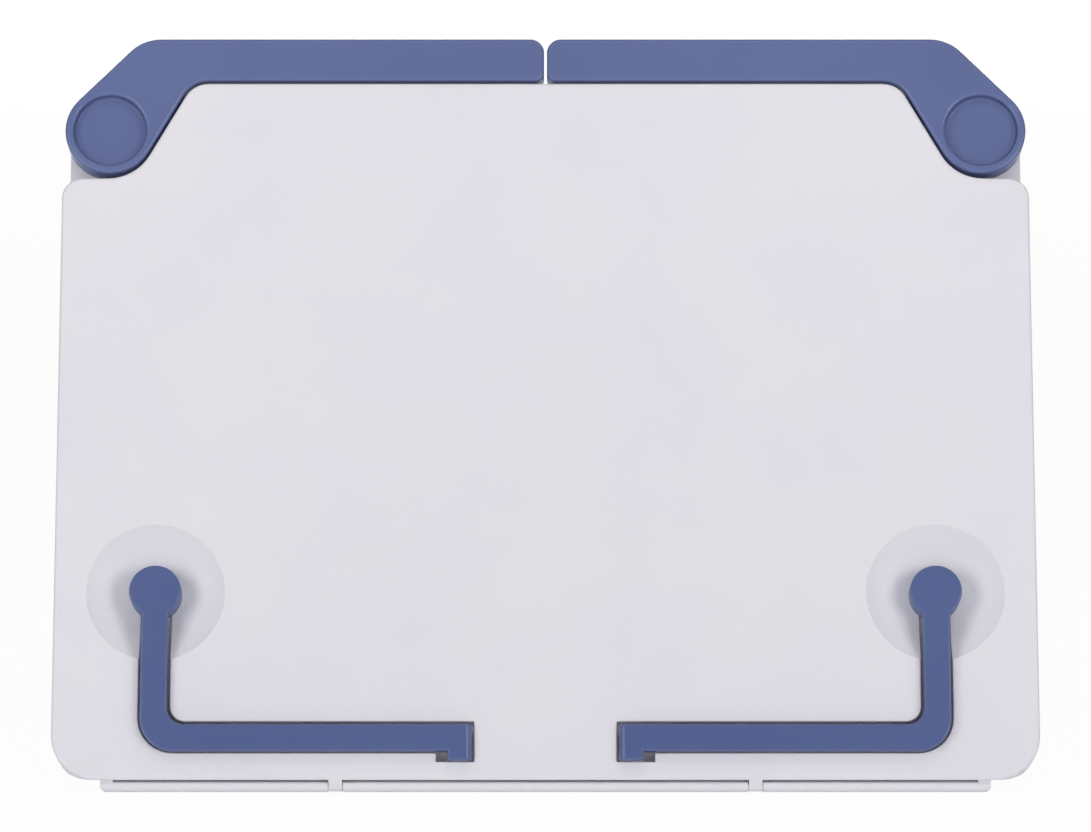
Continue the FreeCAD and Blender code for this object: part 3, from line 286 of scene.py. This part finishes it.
def natural_nylon():
    made, tree = new_material("natural_nylon")
    place = add_node(tree, "ShaderNodeTexCoord").outputs["Object"]
    cloud = add_node(tree, "ShaderNodeTexNoise", {"Vector": place, "Scale": per_metre(NYLON_CLOUD_MM)})
    tint = add_node(tree, "ShaderNodeValToRGB", {"Fac": cloud.outputs["Fac"]})
    tint.color_ramp.elements[0].color = linear("#E2DECF")
    tint.color_ramp.elements[1].color = linear("#EFECE2")
    shader = add_node(tree, "ShaderNodeBsdfPrincipled",
                      {"Base Color": tint.outputs["Color"], "Roughness": 0.4, "IOR": PLASTIC_IOR})
    add_node(tree, "ShaderNodeOutputMaterial", {"Surface": shader.outputs["BSDF"]})
    return made


def moulded_rubber():
    made, tree = new_material("dark_moulded_rubber")
    place = add_node(tree, "ShaderNodeTexCoord").outputs["Object"]
    bloom = add_node(tree, "ShaderNodeTexNoise",
                     {"Vector": place, "Scale": per_metre(RUBBER_BLOOM_MM), "Detail": 5})
    grain = add_node(tree, "ShaderNodeTexNoise",
                     {"Vector": place, "Scale": per_metre(RUBBER_GRAIN_MM), "Detail": 2})
    tint = add_node(tree, "ShaderNodeValToRGB", {"Fac": bloom.outputs["Fac"]})
    tint.color_ramp.elements[0].color = linear("#2C2C2E")
    tint.color_ramp.elements[1].color = linear("#414144")
    skin = add_node(tree, "ShaderNodeBump", {
        "Height": grain.outputs["Fac"], "Strength": 1, "Distance": RUBBER_GRAIN_HEIGHT_MM * MM})
    shader = add_node(tree, "ShaderNodeBsdfPrincipled", {
        "Base Color": tint.outputs["Color"], "Roughness": 0.72,
        "Normal": skin.outputs["Normal"], "IOR": RUBBER_IOR})
    add_node(tree, "ShaderNodeOutputMaterial", {"Surface": shader.outputs["BSDF"]})
    return made


steel = zinc_plated_steel()
nylon = natural_nylon()
rubber = moulded_rubber()
print("other finishes", steel.name, nylon.name, rubber.name)

# %% Dress the CAD parts
FINISHES = {
    "panel_plastic": pale_abs,
    "blue_plastic": arm_abs,
    "steel": steel,
    "nylon": nylon,
    "rubber": rubber,
}
for name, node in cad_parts.items():
    finish = FINISHES[node.data.materials[0].name.split(".")[0]]
    # The clips get the deeper blue: painted shade for the grooves they lie in.
    if name in ("left_clip", "right_clip"):
        finish = shaded_clip_abs
    node.material_slots[0].material = finish
print("dressed", len(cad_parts), "CAD parts")

# %% [markdown]
# ## Trees that repeat things
# Screws, ribs and grips are one shape set down many times, which is what Geometry Nodes are for: the
# tree holds the shape, its named inputs hold the sizes, and a list of points says where. Each result
# is then kept as a plain mesh with its place in its vertices, like the CAD parts, so that it can ride
# on one of the stand's bodies.

# %% Geometry helpers
WELD = 0.001 * MM
SHARP_EDGE = 35  # degrees between two faces


def new_tree(name, *lengths):
    """A geometry tree with points, a finish and the named lengths as inputs."""
    tree = bpy.data.node_groups.new(name, "GeometryNodeTree")
    tree.interface.new_socket("Geometry", in_out="OUTPUT", socket_type="NodeSocketGeometry")
    tree.interface.new_socket("Points", in_out="INPUT", socket_type="NodeSocketGeometry")
    tree.interface.new_socket("Finish", in_out="INPUT", socket_type="NodeSocketMaterial")
    for title in lengths:
        tree.interface.new_socket(title, in_out="INPUT", socket_type="NodeSocketFloat")
    return tree, add_node(tree, "NodeGroupInput").outputs


def close_tree(tree, given, instances):
    """Realizes the instances, gives them the finish and wires the tree's output."""
    real = add_node(tree, "GeometryNodeRealizeInstances", {"Geometry": instances})
    dressed = add_node(tree, "GeometryNodeSetMaterial",
                       {"Geometry": real.outputs["Geometry"], "Material": given["Finish"]})
    add_node(tree, "NodeGroupOutput", {"Geometry": dressed.outputs["Geometry"]})


def keep_result(piece, modifier, sharp_degrees):
    """Keeps what a modifier made as a plain mesh, smooth apart from its sharp edges."""
    depsgraph = bpy.context.evaluated_depsgraph_get()
    shaped = piece.evaluated_get(depsgraph)
    piece.data = bpy.data.meshes.new_from_object(shaped, depsgraph=depsgraph)
    piece.modifiers.remove(modifier)
    piece.data.shade_smooth()
    piece.data.set_sharp_from_angle(angle=math.radians(sharp_degrees))


def grow(name, tree, points, finish, **lengths_mm):
    """Runs a tree on some points and keeps the result as a plain mesh."""
    mesh = bpy.data.meshes.new(name)
    mesh.from_pydata(points, [], [])
    piece = bpy.data.objects.new(name, mesh)
    scene.collection.objects.link(piece)
    modifier = piece.modifiers.new(tree.name, "NODES")
    modifier.node_group = tree
    inputs = [item for item in tree.interface.items_tree if item.in_out == "INPUT"]
    sockets = {item.name: item.identifier for item in inputs}
    modifier[sockets["Finish"]] = finish
    for title, value in lengths_mm.items():
        modifier[sockets[title.replace("_", " ").title()]] = value * MM
    keep_result(piece, modifier, SHARP_EDGE)
    print(name, len(piece.data.polygons), "faces")
    return piece


def islands(node_name):
    """The separate solids of a CAD part, each as a list of its points."""
    copy = bmesh.new()
    copy.from_mesh(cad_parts[node_name].data)
    bmesh.ops.remove_doubles(copy, verts=copy.verts, dist=WELD)
    left = set(copy.verts)
    found = []
    while left:
        group = [left.pop()]
        for vert in group:
            near = {edge.other_vert(vert) for edge in vert.link_edges} & left
            left -= near
            group.extend(near)
        found.append([vert.co.copy() for vert in group])
    copy.free()
    return found


def reach(node_name, direction):
    """How far a CAD part goes in a direction, in metres."""
    return max(vert.co.dot(direction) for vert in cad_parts[node_name].data.vertices)


RECLINE = math.radians(22)
LEG_TILT = math.radians(8)
REAR = Vector((0, math.cos(RECLINE), -math.sin(RECLINE)))
print("rear normal", [round(value, 3) for value in REAR])

# %% [markdown]
# ## Cross-recessed screws
# Pan-head screws hold the cover and the notch rack. The CAD part has plain heads in the right places.
# A screw could be lathed and copied by hand; here one tree turns a cylinder into a low dome with a
# cross cut in it, and sets it down on each seat, turned by a random angle as a fitter's driver would
# leave it.

# %% Screw tree
HEAD_SIDES = 40
SHANK_SIDES = 24
SHANK_TIP = 0.4  # radius at the tip, as a share of the shank's
TWIST_SEED = 4
RIM_TOLERANCE = 0.01 * MM


def screw_tree():
    tree, given = new_tree("cross_recess_screws", "Head Radius", "Head Height", "Dome Radius",
                           "Recess Length", "Recess Width", "Recess Depth", "Shank Radius",
                           "Shank Length")
    drum = add_node(tree, "GeometryNodeMeshCylinder", {
        "Vertices": HEAD_SIDES, "Radius": given["Head Radius"], "Depth": given["Head Height"]})
    ball = add_node(tree, "GeometryNodeMeshUVSphere", {
        "Segments": HEAD_SIDES, "Rings": HEAD_SIDES, "Radius": given["Dome Radius"]})
    half = add_node(tree, "ShaderNodeMath", {0: given["Head Height"], 1: 0.5}, operation="MULTIPLY")
    low = add_node(tree, "ShaderNodeMath", {0: given["Head Height"], 1: given["Dome Radius"]},
                   operation="SUBTRACT")
    parts = []
    for shape, height in ((drum, half), (ball, low)):
        spot = add_node(tree, "ShaderNodeCombineXYZ", {"Z": height.outputs[0]})
        parts.append(add_node(tree, "GeometryNodeTransform",
                              {"Geometry": shape.outputs["Mesh"], "Translation": spot.outputs[0]}))
    domed = add_node(tree, "GeometryNodeMeshBoolean", {"Mesh 2": parts[0].outputs[0]},
                     operation="INTERSECT")
    tree.links.new(parts[1].outputs[0], domed.inputs["Mesh 2"])
    deep = add_node(tree, "ShaderNodeMath", {0: given["Recess Depth"], 1: 2}, operation="MULTIPLY")
    bar = add_node(tree, "ShaderNodeCombineXYZ",
                   {"X": given["Recess Length"], "Y": given["Recess Width"], "Z": deep.outputs[0]})
    blade = add_node(tree, "GeometryNodeMeshCube", {"Size": bar.outputs[0]})
    top = add_node(tree, "ShaderNodeCombineXYZ", {"Z": given["Head Height"]})
    cross = []
    for turn in (0, math.pi / 2):
        cross.append(add_node(tree, "GeometryNodeTransform", {
            "Geometry": blade.outputs["Mesh"], "Translation": top.outputs[0],
            "Rotation": (0, 0, turn)}))
    head = add_node(tree, "GeometryNodeMeshBoolean",
                    {"Mesh 1": domed.outputs["Mesh"], "Mesh 2": cross[0].outputs[0]},
                    operation="DIFFERENCE")
    tree.links.new(cross[1].outputs[0], head.inputs["Mesh 2"])
    point = add_node(tree, "ShaderNodeMath", {0: given["Shank Radius"], 1: SHANK_TIP},
                     operation="MULTIPLY")
    shank = add_node(tree, "GeometryNodeMeshCone", {
        "Vertices": SHANK_SIDES, "Radius Top": given["Shank Radius"],
        "Radius Bottom": point.outputs[0], "Depth": given["Shank Length"]})
    below = add_node(tree, "ShaderNodeMath", {0: given["Shank Length"], 1: -1}, operation="MULTIPLY")
    spot = add_node(tree, "ShaderNodeCombineXYZ", {"Z": below.outputs[0]})
    sunk = add_node(tree, "GeometryNodeTransform",
                    {"Geometry": shank.outputs["Mesh"], "Translation": spot.outputs[0]})
    screw = add_node(tree, "GeometryNodeJoinGeometry", {"Geometry": head.outputs["Mesh"]})
    tree.links.new(sunk.outputs[0], screw.inputs["Geometry"])
    angle = add_node(tree, "FunctionNodeRandomValue",
                     {"Min": 0, "Max": math.tau, "Seed": TWIST_SEED}, data_type="FLOAT")
    twist = add_node(tree, "FunctionNodeAxisAngleToRotation",
                     {"Axis": (0, 0, 1), "Angle": angle.outputs["Value"]})
    facing = add_node(tree, "FunctionNodeAlignRotationToVector", {"Vector": REAR}, axis="Z")
    turned = add_node(tree, "FunctionNodeRotateRotation", {
        "Rotation": facing.outputs["Rotation"], "Rotate By": twist.outputs["Rotation"]},
        rotation_space="LOCAL")
    placed = add_node(tree, "GeometryNodeInstanceOnPoints", {
        "Points": given["Points"], "Instance": screw.outputs["Geometry"],
        "Rotation": turned.outputs["Rotation"]})
    close_tree(tree, given, placed.outputs["Instances"])
    return tree


def seats(node_name, head_mm):
    """Where each screw's head sits, read from the CAD part: on its axis, one head below its top."""
    found = []
    for points in islands(node_name):
        top = max(point.dot(REAR) for point in points)
        rim = [point for point in points if top - point.dot(REAR) < RIM_TOLERANCE]
        middle = sum(rim, Vector()) / len(rim)
        found.append(middle - REAR * head_mm * MM)
    return sorted(found, key=lambda spot: (round(spot.z, 4), spot.x))


screws = screw_tree()
print("screw tree", len(screws.nodes), "nodes")

# %% Cover screws and rack screws
COVER_HEAD = 2  # height of the heads in millimetres
RACK_HEAD = 1.8

cover_screws = grow("cover_screw_set", screws, seats("cover_screws", COVER_HEAD), steel,
                    head_radius=2.9, head_height=COVER_HEAD, dome_radius=4.6,
                    recess_length=3.6, recess_width=0.75, recess_depth=1.1,
                    shank_radius=1.5, shank_length=13)
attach(cover_screws, "stand")
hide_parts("cover_screws")
rack_screws = grow("rack_screw_set", screws, seats("rack_screws", RACK_HEAD), steel,
                   head_radius=2.4, head_height=RACK_HEAD, dome_radius=3.6,
                   recess_length=3, recess_width=0.7, recess_depth=1,
                   shank_radius=1.2, shank_length=8)
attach(rack_screws, "stand")
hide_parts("rack_screws")

# %% [markdown]
# ## Clip springs
# Behind each clip head a compression spring pulls the clip back to the panel. It is wound from plated
# wire on a mandrel. The CAD coil is stiff, so it would run into the panel when the clip is pulled
# out. Here a tree sweeps a round wire along a spiral, and the coil rides rigidly with the clip.

# %% Clip springs
TURNS = 3.25
TURN_POINTS = 48
WIRE_SIDES = 12
COIL_RADIUS = 5  # millimetres, like the next two
WIRE_RADIUS = 0.3


def spring_tree():
    tree, given = new_tree("compression_spring", "Coil Radius", "Coil Height", "Wire Radius")
    coil = add_node(tree, "GeometryNodeCurveSpiral", {
        "Resolution": TURN_POINTS, "Rotations": TURNS, "Start Radius": given["Coil Radius"],
        "End Radius": given["Coil Radius"], "Height": given["Coil Height"]})
    ring = add_node(tree, "GeometryNodeCurvePrimitiveCircle",
                    {"Resolution": WIRE_SIDES, "Radius": given["Wire Radius"]})
    wire = add_node(tree, "GeometryNodeCurveToMesh", {
        "Curve": coil.outputs["Curve"], "Profile Curve": ring.outputs["Curve"], "Fill Caps": True})
    facing = add_node(tree, "FunctionNodeAlignRotationToVector", {"Vector": REAR}, axis="Z")
    placed = add_node(tree, "GeometryNodeInstanceOnPoints", {
        "Points": given["Points"], "Instance": wire.outputs["Mesh"],
        "Rotation": facing.outputs["Rotation"]})
    close_tree(tree, given, placed.outputs["Instances"])
    return tree


springs = spring_tree()
for hand in ("left", "right"):
    node_name = f"{hand}_clip_spring"
    low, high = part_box(f"{hand}_clip_washer")
    middle = (low + high) / 2
    near = -reach(node_name, -REAR)
    far = reach(node_name, REAR)
    length = (far - near) / MM
    start = middle + REAR * (near + WIRE_RADIUS * MM - middle.dot(REAR))
    spring = grow(f"{hand}_clip_spring_coil", springs, [start], steel, coil_radius=COIL_RADIUS,
                  coil_height=length - 2 * WIRE_RADIUS, wire_radius=WIRE_RADIUS)
    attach(spring, f"{hand}_clip")
    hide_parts(node_name)
    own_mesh(spring)

# %% [markdown]
# ## The rubber foot strip
# The strip under the cover keeps the stand from sliding. Real strips of this kind are moulded with
# fine cross ribs, so that they grip a dusty table. A bump map would look flat from the side, where
# only the saw-tooth lower edge shows, so the ribs are real: one half-round rib set down along the
# strip at an even pitch.

# %% Foot strip
RIB_SIDES = 12


def ribbed_strip_tree():
    tree, given = new_tree("ribbed_strip", "Length", "Depth", "Height", "Rib Pitch", "Rib Radius")
    body_height = add_node(tree, "ShaderNodeMath", {0: given["Height"], 1: given["Rib Radius"]},
                           operation="SUBTRACT")
    block = add_node(tree, "ShaderNodeCombineXYZ",
                     {"X": given["Length"], "Y": given["Depth"], "Z": body_height.outputs[0]})
    body = add_node(tree, "GeometryNodeMeshCube", {"Size": block.outputs[0]})
    ends = add_node(tree, "ShaderNodeMath", {0: given["Height"], 1: given["Rib Radius"]},
                    operation="ADD")
    middle = add_node(tree, "ShaderNodeMath", {0: ends.outputs[0], 1: 0.5}, operation="MULTIPLY")
    spot = add_node(tree, "ShaderNodeCombineXYZ", {"Z": middle.outputs[0]})
    raised = add_node(tree, "GeometryNodeTransform",
                      {"Geometry": body.outputs["Mesh"], "Translation": spot.outputs[0]})
    ratio = add_node(tree, "ShaderNodeMath", {0: given["Length"], 1: given["Rib Pitch"]},
                     operation="DIVIDE")
    count = add_node(tree, "ShaderNodeMath", {0: ratio.outputs[0]}, operation="FLOOR")
    inside = add_node(tree, "ShaderNodeMath", {0: given["Length"], 1: given["Rib Pitch"]},
                      operation="SUBTRACT")
    first = add_node(tree, "ShaderNodeMath", {0: inside.outputs[0], 1: -0.5}, operation="MULTIPLY")
    last = add_node(tree, "ShaderNodeMath", {0: inside.outputs[0], 1: 0.5}, operation="MULTIPLY")
    start = add_node(tree, "ShaderNodeCombineXYZ", {"X": first.outputs[0], "Z": given["Rib Radius"]})
    end = add_node(tree, "ShaderNodeCombineXYZ", {"X": last.outputs[0], "Z": given["Rib Radius"]})
    row = add_node(tree, "GeometryNodeMeshLine", {
        "Count": count.outputs[0], "Start Location": start.outputs[0], "Offset": end.outputs[0]},
        mode="END_POINTS")
    rib = add_node(tree, "GeometryNodeMeshCylinder",
                   {"Vertices": RIB_SIDES, "Radius": given["Rib Radius"], "Depth": given["Depth"]})
    laid = add_node(tree, "GeometryNodeTransform",
                    {"Geometry": rib.outputs["Mesh"], "Rotation": (math.pi / 2, 0, 0)})
    ribs = add_node(tree, "GeometryNodeInstanceOnPoints",
                    {"Points": row.outputs["Mesh"], "Instance": laid.outputs[0]})
    strip = add_node(tree, "GeometryNodeJoinGeometry", {"Geometry": raised.outputs[0]})
    tree.links.new(ribs.outputs["Instances"], strip.inputs["Geometry"])
    close_tree(tree, given, strip.outputs["Geometry"])
    return tree


low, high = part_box("foot_strip")
size = (high - low) / MM
strip = grow("ribbed_foot_strip", ribbed_strip_tree(), [(0, 0, 0)], rubber,
             length=size.x, depth=size.y, height=size.z, rib_pitch=2.2, rib_radius=0.7)
strip.data.transform(Matrix.Translation(((low.x + high.x) / 2, (low.y + high.y) / 2, low.z)))
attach(strip, "stand")
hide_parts("foot_strip")

# %% [markdown]
# ## Grip bars
# A smooth leg is hard to hook out of its bay with a fingernail, and a smooth tray lets a page slip,
# so moulders add low bars with round ends. One tree draws a bar, rounds its ends, gives it height and
# repeats it at a pitch. It serves three places: the back of the leg, the rubber pad, and the tray of
# the ledge.

# %% Grip bar tree
ROUND_END = 0.49  # radius as a share of the width, just short of half so that no two corners meet
ROUND_POINTS = 8
MERGE = 0.001 * MM
SOFT_FROM = 50  # degrees between two faces from which an edge is rounded
BAR_SHARP = 60


def grip_bar_tree():
    tree, given = new_tree("grip_bars", "Bar Length", "Bar Width", "Bar Height")
    outline = add_node(tree, "GeometryNodeCurvePrimitiveQuadrilateral",
                       {"Width": given["Bar Length"], "Height": given["Bar Width"]})
    end = add_node(tree, "ShaderNodeMath", {0: given["Bar Width"], 1: ROUND_END}, operation="MULTIPLY")
    rounded = add_node(tree, "GeometryNodeFilletCurve", {
        "Curve": outline.outputs["Curve"], "Radius": end.outputs[0], "Count": ROUND_POINTS},
        mode="POLY")
    flat = add_node(tree, "GeometryNodeFillCurve", {"Curve": rounded.outputs["Curve"]})
    raised = add_node(tree, "GeometryNodeExtrudeMesh", {
        "Mesh": flat.outputs["Mesh"], "Offset Scale": given["Bar Height"], "Individual": False})
    under = add_node(tree, "GeometryNodeFlipFaces", {"Mesh": flat.outputs["Mesh"]})
    both = add_node(tree, "GeometryNodeJoinGeometry", {"Geometry": raised.outputs["Mesh"]})
    tree.links.new(under.outputs["Mesh"], both.inputs["Geometry"])
    bar = add_node(tree, "GeometryNodeMergeByDistance",
                   {"Geometry": both.outputs["Geometry"], "Distance": MERGE})
    bars = add_node(tree, "GeometryNodeInstanceOnPoints",
                    {"Points": given["Points"], "Instance": bar.outputs["Geometry"]})
    close_tree(tree, given, bars.outputs["Instances"])
    return tree


def rows(count, pitch_mm):
    return [(0, (i - (count - 1) / 2) * pitch_mm * MM, 0) for i in range(count)]


def soften(piece, width_mm):
    """Rounds the upper edges of a set of bars, and keeps the result."""
    bevel = piece.modifiers.new("soft_edge", "BEVEL")
    bevel.width = width_mm * MM
    bevel.segments = 2
    bevel.limit_method = "ANGLE"
    bevel.angle_limit = math.radians(SOFT_FROM)
    keep_result(piece, bevel, BAR_SHARP)


bars = grip_bar_tree()
print("grip bar tree", len(bars.nodes), "nodes")

# %% Bars on the leg and its pad
BAR_SINK = 0.1 * MM  # the bars start this far inside the surface
LEG_GRIP_HEIGHT = 24 * MM  # above the leg's lower end
PAD_GRIP_HEIGHT = 4 * MM  # above the pad's sole
PAD_LOWER_PART = 5 * MM

leg_out = Vector((0, math.cos(LEG_TILT), math.sin(LEG_TILT)))
leg_up = Vector((0, -math.sin(LEG_TILT), math.cos(LEG_TILT)))
on_leg = Matrix((Vector((-1, 0, 0)), leg_up, leg_out)).transposed().to_4x4()

leg_grip = grow("leg_grip_bars", bars, rows(5, pitch_mm=4.6), pale_abs,
                bar_length=46, bar_width=2.2, bar_height=1)
soften(leg_grip, 0.5)
leg_back = reach("support_leg", leg_out) - BAR_SINK
spot = leg_out * leg_back + leg_up * (LEG_GRIP_HEIGHT - reach("support_leg", -leg_up))
leg_grip.data.transform(Matrix.Translation(spot) @ on_leg)
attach(leg_grip, "leg")

pad_grip = grow("leg_pad_bars", bars, rows(2, pitch_mm=2.4), rubber,
                bar_length=70, bar_width=1.2, bar_height=0.4)
soften(pad_grip, 0.2)
sole = -reach("leg_foot_pad", -leg_up)
pad_points = [vert.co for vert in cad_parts["leg_foot_pad"].data.vertices]
lower_pad = [point for point in pad_points if point.dot(leg_up) < sole + PAD_LOWER_PART]
pad_face = max(point.dot(leg_out) for point in lower_pad)
spot = leg_out * (pad_face - BAR_SINK) + leg_up * (sole + PAD_GRIP_HEIGHT)
print("pad face", round(pad_face / MM, 2), "sole", round(sole / MM, 2))
pad_grip.data.transform(Matrix.Translation(spot) @ on_leg)
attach(pad_grip, "leg")

# %% Bars in the tray of the ledge
TRAY_DEPTH = 1.1 * MM
TRAY_SETBACK = 1.35 * MM  # from the middle of the ledge's box to the middle of its tray

low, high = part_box("ledge")
tray_middle = Vector((0, (low.y + high.y) / 2 + TRAY_SETBACK, low.z + TRAY_DEPTH))
tray_grip = grow("ledge_tray_bars", bars, rows(3, pitch_mm=2.6), pale_abs,
                 bar_length=270, bar_width=1, bar_height=0.6)
soften(tray_grip, 0.25)
tray_grip.data.transform(Matrix.Translation(tray_middle) @ Matrix.Rotation(math.pi, 4, "X"))
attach(tray_grip, "ledge")
